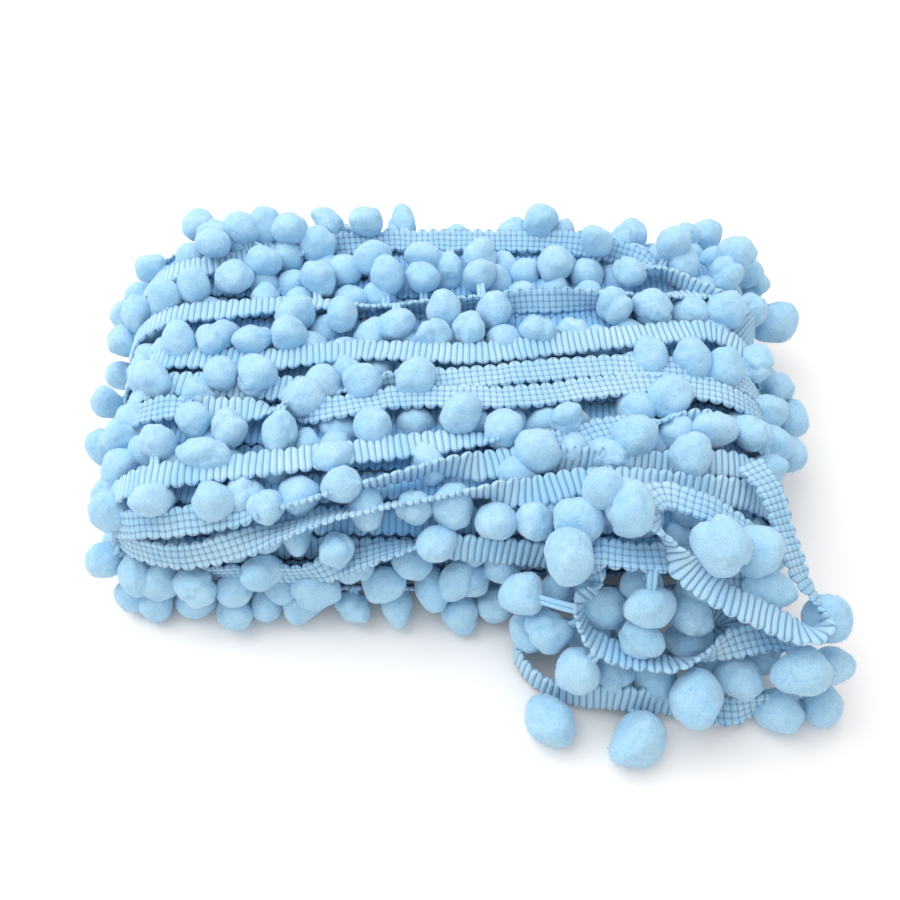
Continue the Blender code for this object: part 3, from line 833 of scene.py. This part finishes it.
def makeHankPompoms():
    draw, kinds, bends = random.Random(17), random.Random(3), random.Random(8)
    made = {group: [] for group in groups}
    rows = []
    allFrames = [item for run in turnRuns.values() for item in run]
    for row, centre, size in listHankPompoms(draw):
        centre.z = floorHeight(centre.z, size)
        near = clearGap + size / 2
        if all((centre - spot).length > near + width / 2 for spot, width in looseSpots):
            group = next(name for name, members in groups.items() if row in members)
            made[group].append(placePompom(centre, size, draw, kinds, balls))
            rows.extend(stemRows(allFrames, centre, size, bends))
    made["pompomsInner"] = makeInnerPompoms(allFrames)
    pieces = [joinPieces(name, members, pompomYarn) for name, members in made.items()]
    for piece in pieces:
        pressOnFloor(piece)
    return pieces, makeStems("hankStems", rows)


def makeLooseEnd():
    draw, kinds, bends = random.Random(31), random.Random(6), random.Random(9)
    made, rows = [], []
    for x, y, z, size, *squash in loosePompoms:
        centre = Vector((x, y, floorHeight(z, size)))
        made.append(placePompom(centre, size, draw, kinds, balls, *squash))
        rows.extend(stemRows(looseLine, centre, size, bends))
    for place in heapPlaces:
        made.append(placePompom(Vector(place), inner["size"], draw, kinds, plainBalls))
    tape = joinPieces("looseHeading", [layHeading(fineUnit, "loose", looseLine)], headingYarn)
    pompoms = joinPieces("loosePompoms", made, pompomYarn)
    pressOnFloor(pompoms)
    return tape, pompoms, makeStems("looseStems", rows)


hankPompoms, hankStems = makeHankPompoms()
looseHeading, looseBalls, looseStems = makeLooseEnd()
for spare in (fineUnit, plainUnit, *balls, *plainBalls):
    bpy.data.objects.remove(spare, do_unlink=True)

for piece in (upperTurns, lowerTurns, innerTurns, core, hankStems, *hankPompoms,
              looseHeading, looseBalls, looseStems):
    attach(piece, "root")
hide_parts("hank")
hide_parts("loose_end")

looseReach = sum((b[0] - a[0]).length for a, b in zip(looseLine, looseLine[1:])) * mm
print("loose end is", round(looseReach, 4), "m long")


# Floor, light and camera.
studio = {"floor": (0.98, 0.95, 0.93, 1), "floorSize": 6, "sky": 0.82, "lamp": 2.95,
          "lampSize": 0.6, "lampPlace": (-0.25, 0.13, 0.56)}
view = {"place": (0.0016, -0.134, 0.185), "tilt": 36, "lens": 34.68, "sensor": 36, "clip": 0.01}


def makeStudio():
    bpy.ops.mesh.primitive_plane_add(size=studio["floorSize"], location=(0, 0, 0))
    floor = bpy.context.active_object
    floor.name = "floor"
    paper = Finish("paper", {"Base Color": studio["floor"], "Roughness": 0.9})
    floor.data.materials.append(paper.material)
    world = bpy.data.worlds.new("studio")
    world.use_nodes = True
    sky = world.node_tree.nodes["Background"]
    sky.inputs["Color"].default_value = (1, 1, 1, 1)
    sky.inputs["Strength"].default_value = studio["sky"]
    bpy.context.scene.world = world
    place = Vector(studio["lampPlace"])
    bpy.ops.object.light_add(type="AREA", location=place)
    lamp = bpy.context.active_object
    lamp.data.size = studio["lampSize"]
    lamp.data.energy = studio["lamp"]
    lamp.rotation_euler = (-place).to_track_quat("-Z", "Y").to_euler()


def makeCamera():
    tilt = math.radians(view["tilt"])
    bpy.ops.object.camera_add(location=view["place"], rotation=(tilt, 0, 0))
    camera = bpy.context.active_object
    camera.data.sensor_width = view["sensor"]
    camera.data.lens = view["lens"]
    camera.data.clip_start = view["clip"]
    bpy.context.scene.camera = camera


makeStudio()
makeCamera()
bpy.context.scene.view_settings.view_transform = "Standard"
print("studio ready")
